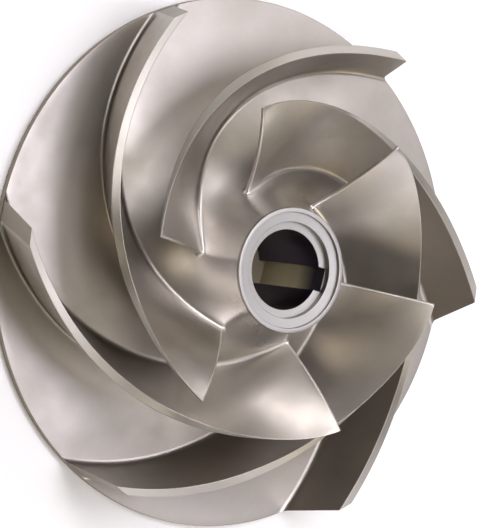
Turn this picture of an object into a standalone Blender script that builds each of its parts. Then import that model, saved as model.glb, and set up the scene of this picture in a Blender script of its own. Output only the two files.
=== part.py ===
"""Semi-open pump impeller: one casting with a hub, a back shroud and six twisted vanes.

Row frame: +Z runs along the shaft axis from the back face to the nose, +X through the keyway.
The part lies on its back face. Lengths at the top are millimetres, angles are degrees.
"""
import math

import bmesh
import bpy

MM = 0.001

# Back shroud and hub, heights above the rim's front
OUTER_R = 135.6
RIM_THICKNESS = 4.0
RIM_CHAMFER = 0.4
BORE_R = 20.0
BORE_CHAMFER = 1.0
COUNTERBORE_R = 24.0
COUNTERBORE_DEPTH = 5.3
FACE_R = 28.9
FACE_DEPTH = 1.8
NOSE_R = 31.2
NOSE_HEIGHT = 56.2
KEYWAY_WIDTH = 12.0
KEYWAY_OUTER_R = 23.3

# Meridian curves as control points (radius, height): hub surface, vane tips, flare under the nose
HUB_CURVE = ((39.6, 34.3), (44.7, 25.5), (70.1, -4.5), (135.0, 0.0))
TIP_CURVE = ((83.9, 66.1), (85.1, 61.6), (75.6, 27.5), (135.0, 33.0))
FLARE_CURVE = ((31.2, 55.6), (33.2, 49.3), (36.2, 40.2), (39.6, 34.3))

# Vane wrap: inlet angle, outlet angle, and how far the angle runs ahead in mid curve and off centre
VANES = 6
HUB_WRAP = (121.9, 0.4, -0.07, -0.03)
TIP_WRAP = (121.4, 5.8, -0.31, -0.06)
# Vane thickness at the inlet edge, half way along and at the outlet
HUB_THICKNESS = (2.4, 7.2, 5.3)
TIP_THICKNESS = (1.9, 4.4, 3.8)
LEAD_BULGE = 3.5
OUTLET_R = 135.4
ROOT_DEPTH = 3.0

# Facets
RING_SIDES = 72
HUB_STEPS = 15
ALONG = 20
ACROSS = 4
ROUND_STEPS = 4


def bezier(ctrl, u):
    a, b, c, d = (1 - u) ** 3, 3 * (1 - u) ** 2 * u, 3 * (1 - u) * u * u, u ** 3
    return tuple(a * ctrl[0][k] + b * ctrl[1][k] + c * ctrl[2][k] + d * ctrl[3][k] for k in (0, 1))


def wrap_angle(wrap, u):
    lead, trail, mid, skew = wrap
    return lead + (trail - lead) * (u + mid * u * (1 - u) + skew * u * (1 - u) * (1 - 2 * u))


def thickness(values, u):
    u = min(max(u, 0.0), 1.0)
    return (values[0] * (1 - u) * (1 - 2 * u) + values[1] * 4 * u * (1 - u)
            + values[2] * u * (2 * u - 1))


class Line:
    """One edge line of a vane on a surface of revolution, traced along its run."""

    def __init__(self, ctrl, wrap, thick):
        self.ctrl, self.wrap, self.thick = ctrl, wrap, thick
        self.us = [-0.06 + 0.01 * i for i in range(125)]
        self.rz = [bezier(ctrl, u) for u in self.us]
        self.run = [0.0]
        for p, q in zip(self.rz, self.rz[1:]):
            self.run.append(self.run[-1] + math.dist(p, q))

    def at_run(self, run):
        """Radius and height where the meridian curve has the given run."""
        i = 0
        while i < len(self.run) - 2 and self.run[i + 1] < run:
            i += 1
        t = (run - self.run[i]) / (self.run[i + 1] - self.run[i])
        p, q = self.rz[i], self.rz[i + 1]
        return p[0] + (q[0] - p[0]) * t, p[1] + (q[1] - p[1]) * t

    def run_at(self, u):
        x = (u - self.us[0]) / 0.01
        i = min(max(int(x), 0), len(self.us) - 2)
        return self.run[i] + (self.run[i + 1] - self.run[i]) * (x - i)

    def offset(self, u, sideways, forward=0.0):
        """Point off the concave edge: sideways through the vane, forward past its inlet edge."""
        run, r = self.run_at(u), bezier(self.ctrl, u)[0]
        step = 0.005
        along = self.run_at(u + step) - self.run_at(u - step)
        turn = r * math.radians(wrap_angle(self.wrap, u + step) - wrap_angle(self.wrap, u - step))
        size = math.hypot(along, turn)
        tm, tt = along / size, turn / size
        run2 = run - tm * forward - tt * sideways
        deg = wrap_angle(self.wrap, u) + math.degrees((-tt * forward + tm * sideways) / r)
        r2, z2 = self.at_run(run2)
        return r2, deg, z2

    def side(self, share):
        """Stations from the inlet edge to the outlet radius, at a share of the thickness."""
        def point(u):
            return self.offset(u, share * thickness(self.thick, u))
        low, high = 0.5, 1.15
        for _ in range(40):
            mid = (low + high) / 2
            if point(mid)[0] < OUTLET_R:
                low = mid
            else:
                high = mid
        return [point(low * (i / ALONG)) for i in range(ALONG + 1)]

    def nose(self):
        """Stations round the inlet edge, from the concave side to the convex side."""
        t = thickness(self.thick, 0.0)
        out = []
        for i in range(1, ROUND_STEPS):
            a = math.pi * i / ROUND_STEPS
            out.append(self.offset(0.0, t / 2 * (1 - math.cos(a)), t / 2 * math.sin(a)))
        return out

    def loop(self):
        return self.side(0.0)[::-1] + self.nose() + self.side(1.0)


def xyz(r, deg, z):
    a = math.radians(deg)
    return [r * math.cos(a), r * math.sin(a), z]


def new_object(name, verts, faces):
    mesh = bpy.data.meshes.new(name)
    mesh.from_pydata([[c * MM for c in v] for v in verts], [], faces)
    obj = bpy.data.objects.new(name, mesh)
    bpy.context.collection.objects.link(obj)
    bm = bmesh.new()
    bm.from_mesh(mesh)
    bmesh.ops.recalc_face_normals(bm, faces=bm.faces)
    bm.to_mesh(mesh)
    bm.free()
    return obj


def hub_profile():
    """Closed radius and height loop of the turned hub and shroud, back face first."""
    top = RIM_THICKNESS + NOSE_HEIGHT
    face = top - FACE_DEPTH
    seat = top - COUNTERBORE_DEPTH
    loop = [(BORE_R + BORE_CHAMFER, 0.0), (OUTER_R, 0.0), (OUTER_R, RIM_THICKNESS - RIM_CHAMFER),
            (OUTER_R - RIM_CHAMFER, RIM_THICKNESS)]
    for i in range(HUB_STEPS - 1, -1, -1):
        r, z = bezier(HUB_CURVE, i / HUB_STEPS)
        loop.append((r, RIM_THICKNESS + z))
    for i in range(4, -1, -1):
        r, z = bezier(FLARE_CURVE, i / 5)
        loop.append((r, RIM_THICKNESS + z))
    loop += [(NOSE_R - 0.6, top), (FACE_R, top), (FACE_R, face),
             (COUNTERBORE_R, face), (COUNTERBORE_R, seat), (BORE_R, seat), (BORE_R, BORE_CHAMFER)]
    return loop


def turned_body():
    loop = hub_profile()
    n = len(loop)
    verts, faces = [], []
    for s in range(RING_SIDES):
        verts += [xyz(r, 360.0 * s / RING_SIDES, z) for r, z in loop]
    for s in range(RING_SIDES):
        a, b = s * n, ((s + 1) % RING_SIDES) * n
        for i in range(n):
            j = (i + 1) % n
            faces.append((a + i, b + i, b + j, a + j))
    return new_object("impeller_casting", verts, faces)


def vane_sections():
    """Closed loops round a vane from below the hub surface to its open tip."""
    hub = Line(HUB_CURVE, HUB_WRAP, HUB_THICKNESS).loop()
    tip = Line(TIP_CURVE, TIP_WRAP, TIP_THICKNESS).loop()
    sections = []
    for k in range(ACROSS + 1):
        v = k / ACROSS
        loop = []
        for i, (h, t) in enumerate(zip(hub, tip)):
            a, b = xyz(*h), xyz(*t)
            p = [a[c] + (b[c] - a[c]) * v for c in range(3)]
            u = max(0.0, (abs(i - len(hub) / 2) - 2) / ALONG)
            p[2] += RIM_THICKNESS + LEAD_BULGE * 4 * v * (1 - v) * max(0.0, 1 - 2.5 * u) ** 2
            loop.append(p)
        sections.append(loop)
    root = []
    for p, q in zip(sections[0], sections[1]):
        d = [p[c] - q[c] for c in range(3)]
        size = math.hypot(*d)
        low = [p[c] + d[c] / size * ROOT_DEPTH for c in range(3)]
        trim = min(1.0, OUTLET_R / math.hypot(low[0], low[1]))
        root.append([low[0] * trim, low[1] * trim, low[2]])
    return [root] + sections


def vanes():
    sections = vane_sections()
    n = len(sections[0])
    verts, faces = [], []
    for index in range(VANES):
        a = -math.radians(360.0 / VANES) * index
        ca, sa = math.cos(a), math.sin(a)
        base = len(verts)
        for loop in sections:
            verts += [(x * ca - y * sa, x * sa + y * ca, z) for x, y, z in loop]
        for k in range(len(sections) - 1):
            for i in range(n):
                j = (i + 1) % n
                lo, hi = base + k * n, base + (k + 1) * n
                faces.append((lo + i, lo + j, hi + j, hi + i))
        for row, flip in ((0, True), (len(sections) - 1, False)):
            start = base + row * n
            for i in range(ALONG):
                quad = (start + i, start + i + 1, start + n - 2 - i, start + n - 1 - i)
                faces.append(quad[::-1] if flip else quad)
            nose = tuple(range(start + ALONG, start + n - ALONG))
            faces.append(nose[::-1] if flip else nose)
    return new_object("vane_blanks", verts, faces)


def keyway():
    x0, x1 = BORE_R - 4.0, KEYWAY_OUTER_R
    y = KEYWAY_WIDTH / 2
    z0, z1 = -5.0, RIM_THICKNESS + NOSE_HEIGHT + 5.0
    verts = [(a, b, c) for a in (x0, x1) for b in (-y, y) for c in (z0, z1)]
    faces = [(0, 1, 3, 2), (4, 6, 7, 5), (0, 4, 5, 1), (2, 3, 7, 6), (0, 2, 6, 4), (1, 5, 7, 3)]
    return new_object("keyway_cutter", verts, faces)


def combine(target, other, operation):
    mod = target.modifiers.new(operation.lower(), "BOOLEAN")
    mod.solver = "EXACT"
    mod.operation = operation
    mod.object = other
    bpy.context.view_layer.objects.active = target
    bpy.ops.object.modifier_apply(modifier=mod.name)
    bpy.data.objects.remove(other, do_unlink=True)


def material(name, color, rough):
    mat = bpy.data.materials.new(name)
    mat.use_nodes = True
    shader = mat.node_tree.nodes["Principled BSDF"]
    shader.inputs["Base Color"].default_value = (*color, 1.0)
    shader.inputs["Metallic"].default_value = 1.0
    shader.inputs["Roughness"].default_value = rough
    return mat


def main():
    for obj in list(bpy.data.objects):
        bpy.data.objects.remove(obj, do_unlink=True)
    casting = turned_body()
    combine(casting, vanes(), "UNION")
    combine(casting, keyway(), "DIFFERENCE")
    casting.data.materials.clear()
    casting.data.materials.append(material("cast_steel", (0.62, 0.59, 0.55), 0.4))


main()
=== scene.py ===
"""Semi-open pump impeller: the looks of one satin steel casting, on a pale studio floor.

The frame is the CAD's: +Z runs along the shaft axis from the back face to the nose, +X through the keyway.
Shapes are worked out in millimetres and degrees. Meshes, properties, lights and the camera are in metres.
"""
import math

import bpy
from mathutils import Matrix, Vector


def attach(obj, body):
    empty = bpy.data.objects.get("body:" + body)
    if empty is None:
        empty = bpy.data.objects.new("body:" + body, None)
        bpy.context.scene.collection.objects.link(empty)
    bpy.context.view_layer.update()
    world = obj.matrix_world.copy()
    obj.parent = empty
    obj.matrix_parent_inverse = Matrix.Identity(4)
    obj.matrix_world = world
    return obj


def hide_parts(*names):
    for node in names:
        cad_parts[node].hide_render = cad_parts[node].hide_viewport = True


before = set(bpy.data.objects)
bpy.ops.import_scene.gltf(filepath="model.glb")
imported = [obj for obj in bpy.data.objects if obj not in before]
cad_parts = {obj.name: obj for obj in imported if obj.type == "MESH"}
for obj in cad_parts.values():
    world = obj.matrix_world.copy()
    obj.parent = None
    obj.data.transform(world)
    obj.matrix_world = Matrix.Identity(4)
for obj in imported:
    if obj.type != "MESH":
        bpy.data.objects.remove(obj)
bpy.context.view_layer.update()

bl_info = {
    "name": "Semi-open impeller",
    "version": (1, 0, 0),
    "blender": (4, 5, 0),
    "location": "View3D > Sidebar > Impeller",
    "description": "Builds a semi-open pump impeller with its studio",
    "category": "Add Mesh",
}

NODE = "impeller_casting"
MM = 0.001

# Meridian curves as four control points: radius, and height above the rim's front
HUB_CURVE = ((39.6, 34.3), (44.7, 25.5), (70.1, -4.5), (135.0, 0.0))
TIP_CURVE = ((83.9, 66.1), (85.1, 61.6), (75.6, 27.5), (135.0, 33.0))
FLARE_CURVE = ((31.2, 55.6), (33.2, 49.3), (36.2, 40.2), (39.6, 34.3))
# A step along the hub curve is this many times as much of the flare, so that a line runs on at one pace
FLARE_PACE = 1.49
# Steps of the nose: radii of its outside, its flat ring and its counterbore, and their depths under the lip
NOSE_RADIUS, RING_RADIUS, COUNTERBORE_RADIUS = 31.2, 28.9, 24.0
RING_DEPTH, COUNTERBORE_DEPTH = 1.8, 5.3
BORE_CHAMFER = 1.0
# Rounding of the rim's back and front edge, and of the nose's corners from its outside inwards
RIM_ROUNDING = (0.5, 0.3)
NOSE_ROUNDING = (0.45, 0.25, 0.2, 0.3, 0.2, 0.35)
# How far the block that cuts the slot reaches into the bore, and past both ends of the part
BLOCK_OVERLAP, BLOCK_OVERRUN = 4.0, 10.0

# Vane wrap: inlet angle, outlet angle, and how far the angle runs ahead in mid curve and off centre
HUB_WRAP = (121.9, 0.4, -0.07, -0.03)
TIP_WRAP = (121.4, 5.8, -0.31, -0.06)
# Vane thickness at the inlet edge, half way along and at the outlet
HUB_THICKNESS = (2.4, 7.2, 5.3)
TIP_THICKNESS = (1.9, 4.4, 3.8)
# Depth in the hub of the vane's closed foot and of the skirt under its fillet, and how far the fillet dips in
FOOT_DEPTH, SKIRT_DEPTH, FILLET_DIP = 2.0, 1.5, 0.02
# Flat strip kept on both sides of the tip's rounded edge, and the most of the tip's width that it may take
TIP_STRIP, TIP_SHARE = 0.35, 0.4
# The bow of the inlet edge is gone after one part in this many of the vane's length
BOW_FADE = 2.5

# Facets of the hub curve and the flare
HUB_FACETS, FLARE_FACETS = 60, 24
# Facets of a vane: along it, round its inlet edge, up its wall, in its fillet and in its rounded tip edge
ALONG, ROUND_INLET, UP_WALL, IN_FILLET, IN_TIP_EDGE = 110, 10, 26, 8, 3
# Edges that turn by more than this stay sharp: on the hub, on the slot, on the vanes
HUB_SHARP, SLOT_SHARP, VANE_SHARP = 35.0, 30.0, 38.0
# Points nearer than this are merged, in metres
MERGE_DISTANCE = 0.000002
# A face counts as part of a vane's outlet end where it lies this near the outlet radius
OUTLET_MARGIN = 0.3
# Stations crowd towards the inlet by this power
CROWDING = 1.15
# Edge lines are sampled from ahead of the inlet to past the outlet, in shares of the curve
LINE_START, LINE_STEP, LINE_POINTS = -0.3, 0.005, 300
# The outlet is looked for between these shares of the curve, by halving
OUTLET_SEARCH, HALVINGS = (0.5, 1.15), 40

# Noise keeps mostly inside this span, so the finishes spread it over their whole range
NOISE_SPAN = (0.32, 0.68)
# The smoother finish and the painted light round the nose are full inside the first radius and gone at the
# second, in metres
HUB_FINISH_AND_LIGHT_RADII = (0.040, 0.052)
# How far the roughness runs from its middle value as the noise rises, and the slot's whole span of it
CAST_SPREAD, TURNED_SPREAD, SLOT_ROUGHNESS = (0.07, -0.06), (-0.03, 0.04), (0.40, 0.50)
# Turned finishes: roughness, and strength of the tool's rings
TURNED = {"turned_face": (0.43, 0.15), "turned_rim": (0.40, 0.10), "bore_wall": (0.30, 0.10),
          "turned_tip": (0.43, 0.15)}
# Where the slot's painted light gives way to painted shade, as shares of its height from the back, and its
# painted shade at the very back
SLOT_STOPS, SLOT_END_SHADE = (0.0, 0.35, 0.55, 0.78), 0.75

# Size of the floor, and how far it lies under the back face, in metres
FLOOR_SIZE, FLOOR_DROP = 12.0, 0.0002
# The floor glows faintly, and more where the tent's light ends: radii in metres, then strengths
FLOOR_GLOW = (0.30, 0.85, 0.06, 0.85)
# The photograph shows nothing pale through the bore, so painted brown shade covers the floor inside these radii,
# in metres
UNDER_BORE, UNDER_BORE_SHADE = (0.024, 0.028), (0.48, 0.43, 0.31)

# Camera, fitted to the photograph: its place in metres, and its right, up and back directions
CAMERA_PLACE = (-0.73987, -0.10401, 1.15055)
CAMERA_AXES = ((0.8068077, 0.2278696, 0.5451026), (-0.2322090, 0.9706827, -0.0620819),
               (-0.5432682, -0.0764896, 0.8360676))
# Tints of the soft lights
COOL, NEUTRAL, WARM, AMBER = (0.89, 0.88, 1.0), (1.0, 0.965, 1.0), (1.0, 0.94, 0.86), (1.0, 0.87, 0.68)
# Distance from the part and diameter of the small lights of the tent and the large ones beyond it, in metres
TENT, WALL = (0.7, 0.30), (2.0, 0.75)
# Soft lights: name, place, elevation and azimuth in degrees, watts, tint
SOFTBOXES = (
    ("wall_mid_far", WALL, 31, 108, 5.5, NEUTRAL),
    ("wall_high_right", WALL, 51, 16, 2.0, NEUTRAL),
    ("tent_low_right", TENT, 14, 0, 0.40, WARM),
    ("tent_low_near_right", TENT, 14, 330, 0.45, AMBER),
    ("tent_mid_far_right", TENT, 33, 45, 0.70, NEUTRAL),
    ("tent_mid_far", TENT, 33, 75, 0.25, WARM),
    ("tent_mid_left", TENT, 33, 195, 0.30, AMBER),
    ("tent_mid_near", TENT, 33, 255, 0.30, AMBER),
    ("tent_mid_near_2", TENT, 33, 285, 0.65, NEUTRAL),
    ("tent_mid_near_right", TENT, 33, 315, 0.45, COOL),
    ("tent_high_far_left", TENT, 53, 126, 0.85, NEUTRAL),
    ("tent_high_near_right", TENT, 53, 306, 0.40, NEUTRAL),
    ("tent_top_right", TENT, 72, 0, 0.75, COOL),
    ("tent_top_far_right", TENT, 72, 60, 1.15, COOL),
    ("tent_top_far_left", TENT, 72, 120, 0.60, NEUTRAL),
    ("tent_top_near_left", TENT, 72, 240, 0.40, WARM),
)


class CastingSizes(bpy.types.PropertyGroup):
    """Sizes of the turned hub and shroud."""
    outer_radius: bpy.props.FloatProperty(
        name="Outer radius", description="Radius of the back shroud", default=0.1356, unit="LENGTH")
    rim_thickness: bpy.props.FloatProperty(
        name="Rim thickness", description="Thickness of the shroud at its rim", default=0.0040, unit="LENGTH")
    bore_radius: bpy.props.FloatProperty(
        name="Bore radius", description="Radius of the shaft bore", default=0.020, unit="LENGTH")
    keyway_width: bpy.props.FloatProperty(
        name="Keyway width", description="Width of the slot in the bore", default=0.012, unit="LENGTH")
    keyway_radius: bpy.props.FloatProperty(
        name="Keyway radius", description="Radius that the slot reaches to", default=0.0233, unit="LENGTH")
    nose_height: bpy.props.FloatProperty(
        name="Nose height", description="Height of the nose over the rim's front", default=0.0562, unit="LENGTH")
    steps: bpy.props.IntProperty(
        name="Steps", description="Facets round the turned shape", default=240, min=24)


class VaneSizes(bpy.types.PropertyGroup):
    """Number and sizes of the vanes."""
    count: bpy.props.IntProperty(
        name="Vanes", description="Number of vanes", default=6, min=1)
    outlet_radius: bpy.props.FloatProperty(
        name="Outlet radius", description="Radius where the vanes end", default=0.1354, unit="LENGTH")
    fillet: bpy.props.FloatProperty(
        name="Root fillet", description="Size of the fillet at the root", default=0.0025, unit="LENGTH")
    edge: bpy.props.FloatProperty(
        name="Edge radius", description="Radius of the edges of the open tip", default=0.0004, unit="LENGTH")
    lead_bulge: bpy.props.FloatProperty(
        name="Inlet bulge", description="How far the inlet edge bows forward", default=0.0035, unit="LENGTH")


class FinishSettings(bpy.types.PropertyGroup):
    """Colours and roughness of the metal."""
    cast_colour: bpy.props.FloatVectorProperty(
        name="Casting", description="Colour of the blasted casting", subtype="COLOR", size=3,
        default=(0.433, 0.402, 0.362))
    cast_roughness: bpy.props.FloatProperty(
        name="Casting roughness", description="Roughness of the casting", default=0.39, subtype="FACTOR")
    grain: bpy.props.FloatProperty(
        name="Grain", description="Strength of the blasted grain", default=0.09, subtype="FACTOR")
    mottle: bpy.props.FloatProperty(
        name="Mottle", description="How far the casting's colour varies", default=0.06, subtype="FACTOR")
    # Round the nose the casting is painted brighter: painted light
    hub_light_colour: bpy.props.FloatVectorProperty(
        name="Hub", description="Colour of the casting round the nose", subtype="COLOR", size=3,
        default=(0.67, 0.64, 0.61))
    hub_roughness: bpy.props.FloatProperty(
        name="Hub roughness", description="Roughness of the casting round the nose", default=0.31,
        subtype="FACTOR")
    machined_colour: bpy.props.FloatVectorProperty(
        name="Machined", description="Colour of the turned faces", subtype="COLOR", size=3,
        default=(0.39, 0.375, 0.35))
    tip_colour: bpy.props.FloatVectorProperty(
        name="Vane tips", description="Colour of the turned edges of the vanes", subtype="COLOR", size=3,
        default=(0.42, 0.395, 0.345))
    # The turned outside and the vanes' outlet ends are painted darker and browner: painted shade
    rim_shade_colour: bpy.props.FloatVectorProperty(
        name="Rim", description="Colour of the turned outside, with its thin brown shading", subtype="COLOR", size=3,
        default=(0.29, 0.255, 0.21))
    # The bore wall's dark colour is painted shade
    bore_shade_colour: bpy.props.FloatVectorProperty(
        name="Bore", description="Colour of the shaded wall of the bore", subtype="COLOR", size=3,
        default=(0.10, 0.088, 0.14))
    # The slot's bright colour deep in the bore is painted light
    keyway_light_colour: bpy.props.FloatVectorProperty(
        name="Keyway", description="Colour of the slot, deep in the bore", subtype="COLOR", size=3,
        default=(0.80, 0.75, 0.60))


class StudioSettings(bpy.types.PropertyGroup):
    """Floor, light and camera."""
    floor_colour: bpy.props.FloatVectorProperty(
        name="Floor", description="Colour of the studio floor", subtype="COLOR", size=3,
        default=(0.96, 0.96, 0.955))
    power: bpy.props.FloatProperty(
        name="Power", description="Factor on the watts of all lights", default=1.05)
    lens: bpy.props.FloatProperty(
        name="Lens", description="Focal length for a sensor 36 mm high", default=181.9, unit="CAMERA")


def bezier(ctrl, u):
    """Radius and height on a cubic curve, at share u."""
    a, b, c, d = (1 - u) ** 3, 3 * (1 - u) ** 2 * u, 3 * (1 - u) * u * u, u ** 3
    return tuple(a * ctrl[0][k] + b * ctrl[1][k] + c * ctrl[2][k] + d * ctrl[3][k] for k in (0, 1))


def hub_meridian(u):
    """Hub surface: the hub curve, and ahead of the inlet edge the flare under the nose."""
    return bezier(HUB_CURVE, u) if u >= 0 else bezier(FLARE_CURVE, 1 + FLARE_PACE * u)


def tip_meridian(u):
    """Surface that the open tips of the vanes are turned to."""
    return bezier(TIP_CURVE, u)


def wrap_angle(wrap, u):
    """Angle round the axis of a vane's concave edge line, at share u."""
    lead, trail, mid, skew = wrap
    return lead + (trail - lead) * (u + mid * u * (1 - u) + skew * u * (1 - u) * (1 - 2 * u))


def thickness(values, u):
    """Thickness of a vane at share u, on a parabola through its three values."""
    u = min(max(u, 0.0), 1.0)
    return (values[0] * (1 - u) * (1 - 2 * u) + values[1] * 4 * u * (1 - u)
            + values[2] * u * (2 * u - 1))


class EdgeLine:
    """The concave edge line of a vane on a surface of revolution, and points beside it."""

    def __init__(self, meridian, wrap, thick):
        self.meridian, self.wrap, self.thick = meridian, wrap, thick
        self.us = [LINE_START + LINE_STEP * i for i in range(LINE_POINTS)]
        self.rz = [meridian(u) for u in self.us]
        self.run = [0.0]
        for p, q in zip(self.rz, self.rz[1:]):
            self.run.append(self.run[-1] + math.dist(p, q))

    def at_run(self, run):
        """Radius and height where the meridian curve has the given length."""
        low, high = 0, len(self.run) - 1
        while high - low > 1:
            mid = (low + high) // 2
            if self.run[mid] <= run:
                low = mid
            else:
                high = mid
        t = (run - self.run[low]) / (self.run[low + 1] - self.run[low])
        p, q = self.rz[low], self.rz[low + 1]
        return p[0] + (q[0] - p[0]) * t, p[1] + (q[1] - p[1]) * t

    def run_at(self, u):
        """Length of the meridian curve up to share u."""
        x = (u - self.us[0]) / LINE_STEP
        i = min(max(int(x), 0), len(self.us) - 2)
        return self.run[i] + (self.run[i + 1] - self.run[i]) * (x - i)

    def beside(self, u, sideways, forward=0.0):
        """Point moved sideways through the vane, and forward past its inlet edge."""
        run, r = self.run_at(u), self.meridian(u)[0]
        before, after = u - LINE_STEP, u + LINE_STEP
        along = self.run_at(after) - self.run_at(before)
        turn = r * math.radians(wrap_angle(self.wrap, after) - wrap_angle(self.wrap, before))
        size = math.hypot(along, turn)
        tm, tt = along / size, turn / size
        deg = wrap_angle(self.wrap, u) + math.degrees((-tt * forward + tm * sideways) / r)
        r2, z2 = self.at_run(run - tm * forward - tt * sideways)
        a = math.radians(deg)
        return Vector((r2 * math.cos(a), r2 * math.sin(a), z2))

    def side(self, convex, out, outlet):
        """Stations from the inlet edge to the outlet radius, moved out of the metal by out."""
        def point(u):
            return self.beside(u, thickness(self.thick, u) + out if convex else -out)
        low, high = OUTLET_SEARCH
        for _ in range(HALVINGS):
            mid = (low + high) / 2
            if point(mid).xy.length < outlet:
                low = mid
            else:
                high = mid
        return [point(low * (i / ALONG) ** CROWDING) for i in range(ALONG + 1)]

    def inlet(self, out):
        """Stations round the inlet edge, from the concave side to the convex side."""
        half = thickness(self.thick, 0.0) / 2
        angles = [math.pi * i / ROUND_INLET for i in range(1, ROUND_INLET)]
        return [self.beside(0.0, half - (half + out) * math.cos(a), (half + out) * math.sin(a)) for a in angles]

    def loop(self, out, outlet):
        """Stations round the whole vane: in along its concave side and out along its convex side."""
        return self.side(False, out, outlet)[::-1] + self.inlet(out) + self.side(True, out, outlet)


def rounded(corners, facets=4):
    """Closed loop of (radius, height) points from corners of (point, rounding)."""
    points = []
    for i, (corner, size) in enumerate(corners):
        p = Vector(corner)
        if not size:
            points.append(p)
            continue
        before, after = Vector(corners[i - 1][0]), Vector(corners[(i + 1) % len(corners)][0])
        start, end = p + (before - p).normalized() * size, p + (after - p).normalized() * size
        for k in range(facets + 1):
            t = k / facets
            points.append(start * (1 - t) ** 2 + p * 2 * t * (1 - t) + end * t * t)
    return points


def hub_profile(bore, outer, rim, top):
    """Closed (radius, height) loop of the turned hub and shroud, from the bore's back end outwards."""
    loop = [((bore + BORE_CHAMFER, 0.0), 0.0), ((outer, 0.0), RIM_ROUNDING[0]), ((outer, rim), RIM_ROUNDING[1])]
    surface = [hub_meridian(i / HUB_FACETS) for i in range(HUB_FACETS, 0, -1)]
    surface += [bezier(FLARE_CURVE, 1 - i / FLARE_FACETS) for i in range(FLARE_FACETS)]
    loop += [((r, rim + z), 0.0) for r, z in surface]
    ring, seat = top - RING_DEPTH, top - COUNTERBORE_DEPTH
    nose = ((NOSE_RADIUS, top), (RING_RADIUS, top), (RING_RADIUS, ring), (COUNTERBORE_RADIUS, ring),
            (COUNTERBORE_RADIUS, seat), (bore, seat))
    loop += list(zip(nose, NOSE_ROUNDING))
    loop.append(((bore, BORE_CHAMFER), 0.0))
    return rounded(loop)


def hub_finish(centre, normal, bore, outer, top, half_slot):
    """Name of the finish that a face of the hub takes. The margins take in the roundings beside each surface."""
    r = math.hypot(centre.x, centre.y)
    seat = top - COUNTERBORE_DEPTH
    in_slot = centre.x > 0 and abs(centre.y) < half_slot + 0.05 and bore - 0.3 < r < COUNTERBORE_RADIUS - 0.1
    if r > outer - 0.35:
        return "turned_rim"
    if in_slot and abs(normal.z) < 0.5:
        return "keyway_wall"
    if r < bore + 0.7 and 0.5 < centre.z < seat - 0.2:
        return "bore_wall"
    if r < NOSE_RADIUS + 0.3 and centre.z > seat - 0.7:
        return "turned_face"
    return "cast_satin"


def vane_rows(outlet, fillet, edge, bulge):
    """Rows of points up one vane, from its foot in the hub to the middle of its tip, and the tip's first row."""
    hub = EdgeLine(hub_meridian, HUB_WRAP, HUB_THICKNESS)
    base, flare = hub.loop(0.0, outlet), hub.loop(fillet, outlet)
    top = EdgeLine(tip_meridian, TIP_WRAP, TIP_THICKNESS).loop(0.0, outlet)
    stations = range(len(base))
    wall = [t - b for b, t in zip(base, top)]
    rise = [w.normalized() for w in wall]
    over = [top[-1 - i] - top[i] for i in stations]

    def bow(i, share):
        u = max(0.0, (abs(i - (len(base) - 1) / 2) - ROUND_INLET / 2) / ALONG)
        return Vector((0, 0, bulge * 4 * share * (1 - share) * max(0.0, 1 - BOW_FADE * u) ** 2))

    rows = [[(base[i] + base[-1 - i]) / 2 - rise[i] * FOOT_DEPTH for i in stations],
            [flare[i] - rise[i] * SKIRT_DEPTH for i in stations]]
    for k in range(IN_FILLET + 1):
        t = k / IN_FILLET
        row = []
        for i in stations:
            p = flare[i] * (1 - t) ** 2 + base[i] * 2 * t * (1 - t) + (base[i] + rise[i] * fillet) * t * t
            row.append(p - rise[i] * FILLET_DIP * (1 - t) + bow(i, fillet * t * t / wall[i].length))
        rows.append(row)
    for k in range(1, UP_WALL + 1):
        row = []
        for i in stations:
            start, end = fillet / wall[i].length, 1 - (edge + TIP_STRIP) / wall[i].length
            share = start + (end - start) * k / UP_WALL
            row.append(base[i] + wall[i] * share + bow(i, share))
        rows.append(row)
    for k in range(IN_TIP_EDGE + 1):
        a = math.pi / 2 * k / IN_TIP_EDGE
        row = []
        for i in stations:
            inward = over[i].normalized() * min(edge, over[i].length * TIP_SHARE)
            row.append(top[i] - rise[i] * edge * (1 - math.sin(a)) + inward * (1 - math.cos(a)))
        rows.append(row)
    tip_row = len(rows) - 2
    shares = [min(TIP_SHARE, (edge + TIP_STRIP) / max(over[i].length, 0.01)) for i in stations]
    rows.append([top[i] + over[i] * shares[i] for i in stations])
    rows.append([(top[i] + top[-1 - i]) / 2 for i in stations])
    return rows, tip_row


def clear_selection():
    """Deselects everything, in object mode."""
    if bpy.context.object and bpy.context.object.mode != "OBJECT":
        bpy.ops.object.mode_set(mode="OBJECT")
    bpy.ops.object.select_all(action="DESELECT")


def select_only(obj):
    """Selects one object and makes it active."""
    clear_selection()
    obj.select_set(True)
    bpy.context.view_layer.objects.active = obj


def finish_mesh(obj, angle):
    """Merges doubles, turns the faces outwards and smooths the shading up to the angle."""
    select_only(obj)
    bpy.ops.object.mode_set(mode="EDIT")
    bpy.ops.mesh.select_all(action="SELECT")
    bpy.ops.mesh.remove_doubles(threshold=MERGE_DISTANCE)
    bpy.ops.mesh.normals_make_consistent(inside=False)
    bpy.ops.object.mode_set(mode="OBJECT")
    bpy.ops.object.shade_smooth_by_angle(angle=math.radians(angle))


def node(tree, kind, place, **values):
    """New node, with values for its sockets or settings."""
    made = tree.nodes.new(kind)
    made.location = place
    for key, value in values.items():
        if key in made.inputs:
            made.inputs[key].default_value = value
        else:
            setattr(made, key, value)
    return made


def colour_ramp(tree, place, source, stops):
    """Colour from a value, by a ramp of (position, colour) stops."""
    ramp = node(tree, "ShaderNodeValToRGB", place)
    elements = ramp.color_ramp.elements
    while len(elements) < len(stops):
        elements.new(0.5)
    for element, (position, colour) in zip(elements, stops):
        element.position = position
        element.color = (*colour, 1.0)
    tree.links.new(source, ramp.inputs["Fac"])
    return ramp.outputs["Color"]


def remap(tree, place, source, spans, **settings):
    """Value turned from the span of the first two numbers into the span of the last two."""
    made = node(tree, "ShaderNodeMapRange", place, **settings)
    for socket, value in zip(("From Min", "From Max", "To Min", "To Max"), spans):
        made.inputs[socket].default_value = value
    tree.links.new(source, made.inputs["Value"])
    return made.outputs["Result"]


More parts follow.
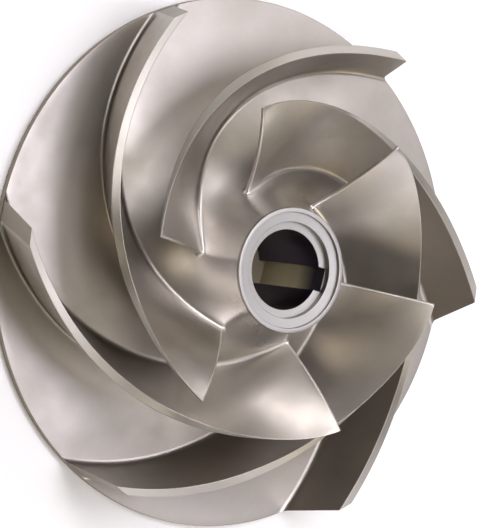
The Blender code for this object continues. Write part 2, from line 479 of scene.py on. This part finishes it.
def mix_colours(tree, place, factor, low, high):
    """Colour between low and high, each of them a colour or an output."""
    made = node(tree, "ShaderNodeMix", place, data_type="RGBA")
    tree.links.new(factor, made.inputs["Factor"])
    for socket, value in ((made.inputs["A"], low), (made.inputs["B"], high)):
        if isinstance(value, bpy.types.NodeSocket):
            tree.links.new(value, socket)
        else:
            socket.default_value = (*value, 1.0)
    return made.outputs["Result"]


def axis_distance(tree, place, position):
    """Distance of a point of the surface from the shaft axis."""
    flat = node(tree, "ShaderNodeVectorMath", place, operation="MULTIPLY")
    flat.inputs[1].default_value = (1.0, 1.0, 0.0)
    radius = node(tree, "ShaderNodeVectorMath", (place[0] + 170, place[1]), operation="LENGTH")
    tree.links.new(position, flat.inputs[0])
    tree.links.new(flat.outputs["Vector"], radius.inputs[0])
    return radius.outputs["Value"]


def texture(tree, kind, place, position, **values):
    """Texture node that reads the given position."""
    made = node(tree, kind, place, **values)
    tree.links.new(position, made.inputs["Vector"])
    return made.outputs["Fac"]


def new_metal(name):
    """Metal, its node tree, its shader, and the place of a point on the piece."""
    mat = bpy.data.materials.new(name)
    mat.use_nodes = True
    tree = mat.node_tree
    shader = tree.nodes["Principled BSDF"]
    shader.inputs["Metallic"].default_value = 1.0
    return mat, tree, shader, node(tree, "ShaderNodeTexCoord", (-1200, 0)).outputs["Object"]


def satin_metal(finish):
    """Blasted steel casting: fine grain, faint olive and grey mottling, and round the nose a smoother finish with
    painted light, a brighter colour.
    """
    mat, tree, shader, position = new_metal("cast_satin")
    link = tree.links.new
    slow = texture(tree, "ShaderNodeTexNoise", (-950, 200), position, Scale=34.0, Detail=5.0, Roughness=0.6)
    fine = texture(tree, "ShaderNodeTexNoise", (-950, -200), position, Scale=1100.0, Detail=3.0, Roughness=0.6)
    near = remap(tree, (-600, 500), axis_distance(tree, (-950, 450), position), (*HUB_FINISH_AND_LIGHT_RADII, 1.0, 0.0))

    less, more = 1 - finish.mottle, 1 + finish.mottle
    tints = ((less, less, 1 - 1.5 * finish.mottle), (1.0, 1.0, 1.0), (more, 1 + 0.9 * finish.mottle, more))
    positions = (NOISE_SPAN[0], 0.5, NOISE_SPAN[1])
    stops = [(at, [c * t for c, t in zip(finish.cast_colour, tint)]) for at, tint in zip(positions, tints)]
    mottled = colour_ramp(tree, (-600, 250), slow, stops)
    # Round the nose the mottled colour gives way to a brighter one: painted light
    link(mix_colours(tree, (-300, 300), near, mottled, finish.hub_light_colour), shader.inputs["Base Color"])

    smoother = node(tree, "ShaderNodeMath", (-400, 50), operation="MULTIPLY_ADD")
    smoother.inputs[1].default_value = finish.hub_roughness - finish.cast_roughness
    spans = (*NOISE_SPAN, *(finish.cast_roughness + step for step in CAST_SPREAD))
    link(near, smoother.inputs[0])
    link(remap(tree, (-600, 0), slow, spans), smoother.inputs[2])
    link(smoother.outputs["Value"], shader.inputs["Roughness"])

    bump = node(tree, "ShaderNodeBump", (-300, -250), Distance=0.00012)
    link(remap(tree, (-600, -350), near, (0.0, 1.0, finish.grain, 0.0)), bump.inputs["Strength"])
    link(fine, bump.inputs["Height"])
    link(bump.outputs["Normal"], shader.inputs["Normal"])
    return mat


def turned_metal(name, colour):
    """Turned steel: fine rings round the axis from the tool, with a faintly uneven tone."""
    mat, tree, shader, position = new_metal(name)
    link = tree.links.new
    roughness, cut = TURNED[name]
    rings = texture(tree, "ShaderNodeTexWave", (-950, -200), position, wave_type="RINGS", rings_direction="Z",
                    Scale=520.0, Distortion=0.6, Detail=2.0)
    slow = texture(tree, "ShaderNodeTexNoise", (-950, 200), position, Scale=60.0, Detail=3.0)
    stops = list(zip(NOISE_SPAN, ([c * 0.96 for c in colour], colour)))
    link(colour_ramp(tree, (-600, 250), slow, stops), shader.inputs["Base Color"])
    spans = (*NOISE_SPAN, *(roughness + step for step in TURNED_SPREAD))
    link(remap(tree, (-600, 0), slow, spans), shader.inputs["Roughness"])
    bump = node(tree, "ShaderNodeBump", (-300, -250), Strength=cut, Distance=0.00005)
    link(rings, bump.inputs["Height"])
    link(bump.outputs["Normal"], shader.inputs["Normal"])
    return mat


def slotted_metal(deep, mouth, height):
    """Broached slot wall with painted light and shade: bright brown deep in the bore, painted dark towards its
    mouth.
    """
    mat, tree, shader, position = new_metal("keyway_wall")
    link = tree.links.new
    split = node(tree, "ShaderNodeSeparateXYZ", (-1000, 100))
    link(position, split.inputs["Vector"])
    depth = remap(tree, (-800, 100), split.outputs["Z"], (0.0, height, 0.0, 1.0))
    # Painted shade at the very back, painted light deep in the bore, painted shade towards the mouth
    stops = list(zip(SLOT_STOPS, ([c * SLOT_END_SHADE for c in deep], deep, deep, mouth)))
    link(colour_ramp(tree, (-600, 250), depth, stops), shader.inputs["Base Color"])
    fine = texture(tree, "ShaderNodeTexNoise", (-950, -200), position, Scale=900.0, Detail=3.0)
    link(remap(tree, (-600, 0), fine, (*NOISE_SPAN, *SLOT_ROUGHNESS)), shader.inputs["Roughness"])
    return mat


def floor_paper(studio):
    """Pale paper that glows faintly, more where the light ends, with painted brown shade under the bore."""
    mat = bpy.data.materials.new("floor_paper")
    mat.use_nodes = True
    tree = mat.node_tree
    shader = tree.nodes["Principled BSDF"]
    shader.inputs["Roughness"].default_value = 0.9
    shader.inputs["Specular IOR Level"].default_value = 0.1
    radius = axis_distance(tree, (-870, 0), node(tree, "ShaderNodeTexCoord", (-1050, 0)).outputs["Object"])
    under = remap(tree, (-500, 300), radius, (*UNDER_BORE, 0.0, 1.0))
    # Inside the bore's radius the floor takes a painted brown shade
    colour = mix_colours(tree, (-300, 300), under, UNDER_BORE_SHADE, studio.floor_colour)
    glow = remap(tree, (-500, 0), radius, FLOOR_GLOW, interpolation_type="SMOOTHSTEP")
    tree.links.new(colour, shader.inputs["Base Color"])
    tree.links.new(colour, shader.inputs["Emission Color"])
    tree.links.new(glow, shader.inputs["Emission Strength"])
    return mat


class ADD_OT_hub_and_shroud(bpy.types.Operator):
    """Turned hub, nose and back shroud with the bore and its keyway"""
    bl_idname = "impeller.hub_and_shroud"
    bl_label = "Hub and shroud"

    def execute(self, context):
        sizes, finish = context.scene.casting_sizes, context.scene.finish_settings
        bore, outer, rim = sizes.bore_radius / MM, sizes.outer_radius / MM, sizes.rim_thickness / MM
        top = rim + sizes.nose_height / MM
        profile = hub_profile(bore, outer, rim, top)
        clear_selection()
        bpy.ops.mesh.primitive_circle_add(vertices=len(profile), radius=sizes.bore_radius)
        body = context.object
        body.name = "hub_and_shroud"
        for vertex, p in zip(body.data.vertices, profile):
            vertex.co = (p[0] * MM, 0.0, p[1] * MM)
        bpy.ops.object.mode_set(mode="EDIT")
        bpy.ops.mesh.select_all(action="SELECT")
        bpy.ops.mesh.spin(steps=sizes.steps, angle=math.tau, center=(0, 0, 0), axis=(0, 0, 1))
        finish_mesh(body, HUB_SHARP)
        self.cut_keyway(context, body, sizes, top)
        body.data.materials.clear()
        # The rim's and the bore's darker colours are painted shade; the slot's colours are painted light deep in
        # the bore and painted shade at its mouth
        for mat in (satin_metal(finish), turned_metal("turned_face", finish.machined_colour),
                    turned_metal("turned_rim", finish.rim_shade_colour), turned_metal("bore_wall", finish.bore_shade_colour),
                    slotted_metal(finish.keyway_light_colour, finish.bore_shade_colour, top * MM)):
            body.data.materials.append(mat)
        names = [mat.name for mat in body.data.materials]
        half_slot = sizes.keyway_width / MM / 2
        for face in body.data.polygons:
            name = hub_finish(face.center / MM, face.normal, bore, outer, top, half_slot)
            face.material_index = names.index(name)
        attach(body, "root")
        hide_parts(NODE)
        return {"FINISHED"}

    def cut_keyway(self, context, body, sizes, top):
        """Cuts the slot with a block that starts inside the bore and runs past both ends."""
        clear_selection()
        bpy.ops.mesh.primitive_cube_add(size=1.0)
        block = context.object
        inner = sizes.bore_radius - BLOCK_OVERLAP * MM
        low, high = -BLOCK_OVERRUN * MM, (top + BLOCK_OVERRUN) * MM
        for vertex in block.data.vertices:
            x, y, z = vertex.co
            vertex.co = (inner if x < 0 else sizes.keyway_radius, y * sizes.keyway_width, low if z < 0 else high)
        cut = body.modifiers.new("keyway", "BOOLEAN")
        cut.operation, cut.solver, cut.object = "DIFFERENCE", "EXACT", block
        select_only(body)
        bpy.ops.object.modifier_apply(modifier=cut.name)
        bpy.data.objects.remove(block, do_unlink=True)
        bpy.ops.object.shade_smooth_by_angle(angle=math.radians(SLOT_SHARP))


class ADD_OT_vanes(bpy.types.Operator):
    """Twisted vanes with root fillets and fine tip edges, one shape copied round the axis"""
    bl_idname = "impeller.vanes"
    bl_label = "Vanes"

    def execute(self, context):
        sizes, vane = context.scene.casting_sizes, context.scene.vane_sizes
        outlet, rim = vane.outlet_radius / MM, sizes.rim_thickness / MM
        rows, tip_row = vane_rows(outlet, vane.fillet / MM, vane.edge / MM, vane.lead_bulge / MM)
        stations = len(rows[0])
        columns = stations + 1
        clear_selection()
        bpy.ops.mesh.primitive_grid_add(x_subdivisions=stations, y_subdivisions=len(rows) - 1, size=0.1)
        first = context.object
        first.name = "vane_1"
        vertices = first.data.vertices
        for j, row in enumerate(rows):
            for i in range(columns):
                p = row[i % stations]
                vertices[j * columns + i].co = (p.x * MM, p.y * MM, (p.z + rim) * MM)
        for mat in (bpy.data.materials["cast_satin"],
                    turned_metal("turned_tip", context.scene.finish_settings.tip_colour),
                    bpy.data.materials["turned_rim"]):
            first.data.materials.append(mat)
        outlet_face = (outlet - OUTLET_MARGIN) * MM
        for face in first.data.polygons:
            if min(face.vertices) // columns >= tip_row:
                face.material_index = 1
            # Outlet ends take the rim's darker colour: painted shade
            elif all(vertices[v].co.xy.length > outlet_face for v in face.vertices):
                face.material_index = 2
        finish_mesh(first, VANE_SHARP)
        made = [first]
        for k in range(1, vane.count):
            select_only(first)
            bpy.ops.object.duplicate(linked=False)
            copy = context.object
            copy.name = "vane_%d" % (k + 1)
            copy.data.transform(Matrix.Rotation(-math.tau * k / vane.count, 4, "Z"))
            made.append(copy)
        for piece in made:
            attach(piece, "root")
        return {"FINISHED"}


class ADD_OT_studio(bpy.types.Operator):
    """Pale floor, soft lights and the camera"""
    bl_idname = "impeller.studio"
    bl_label = "Studio"

    def execute(self, context):
        studio = context.scene.studio_settings
        clear_selection()
        bpy.ops.mesh.primitive_plane_add(size=FLOOR_SIZE, location=(0, 0, -FLOOR_DROP))
        floor = context.object
        floor.name = "studio_floor"
        bpy.ops.object.transform_apply(location=True, rotation=True, scale=True)
        floor.data.materials.append(floor_paper(studio))
        world = context.scene.world or bpy.data.worlds.new("studio_world")
        context.scene.world = world
        world.use_nodes = True
        world.node_tree.nodes["Background"].inputs["Strength"].default_value = 0.0
        for softbox in SOFTBOXES:
            self.hang_softbox(context, studio.power, *softbox)
        self.place_camera(context, studio.lens)
        context.scene.view_settings.view_transform = "Standard"
        return {"FINISHED"}

    def hang_softbox(self, context, power, name, place, elevation, azimuth, watts, tint):
        """Round area light that faces the middle of the part, and that the camera doesn't see."""
        distance, diameter = place
        data = bpy.data.lights.new(name, "AREA")
        data.shape, data.size, data.energy, data.color = "DISK", diameter, watts * power, tint
        light = bpy.data.objects.new(name, data)
        context.collection.objects.link(light)
        up, turn = math.radians(elevation), math.radians(azimuth)
        outward = Vector((math.cos(up) * math.cos(turn), math.cos(up) * math.sin(turn), math.sin(up)))
        light.location = outward * distance
        light.rotation_euler = outward.to_track_quat("Z", "Y").to_euler()
        light.visible_camera = False

    def place_camera(self, context, lens):
        """Camera at the photograph's viewing angle."""
        data = bpy.data.cameras.new("camera")
        data.sensor_fit, data.sensor_height, data.lens = "VERTICAL", 36.0, lens
        data.clip_start, data.clip_end = 0.05, 50.0
        camera = bpy.data.objects.new("camera", data)
        context.collection.objects.link(camera)
        turn = Matrix(CAMERA_AXES).transposed().to_4x4()
        camera.matrix_world = Matrix.Translation(CAMERA_PLACE) @ turn
        context.scene.camera = camera


class VIEW3D_PT_impeller(bpy.types.Panel):
    """Lists the sizes, finishes and pieces of the impeller"""
    bl_idname = "VIEW3D_PT_impeller"
    bl_label = "Impeller"
    bl_space_type = "VIEW_3D"
    bl_region_type = "UI"
    bl_category = "Impeller"

    def draw(self, context):
        for name, group in GROUPS.items():
            box = self.layout.box()
            for setting in group.__annotations__:
                box.prop(getattr(context.scene, name), setting)
        for operator in OPERATORS:
            self.layout.operator(operator.bl_idname)


GROUPS = {"casting_sizes": CastingSizes, "vane_sizes": VaneSizes,
          "finish_settings": FinishSettings, "studio_settings": StudioSettings}
OPERATORS = (ADD_OT_hub_and_shroud, ADD_OT_vanes, ADD_OT_studio)
CLASSES = (*GROUPS.values(), *OPERATORS, VIEW3D_PT_impeller)


def register():
    for cls in CLASSES:
        bpy.utils.register_class(cls)
    for name, group in GROUPS.items():
        setattr(bpy.types.Scene, name, bpy.props.PointerProperty(type=group))


def unregister():
    for name in GROUPS:
        delattr(bpy.types.Scene, name)
    for cls in reversed(CLASSES):
        bpy.utils.unregister_class(cls)


def main():
    register()
    bpy.ops.impeller.hub_and_shroud()
    bpy.ops.impeller.vanes()
    bpy.ops.impeller.studio()


if __name__ == "__main__":
    main()
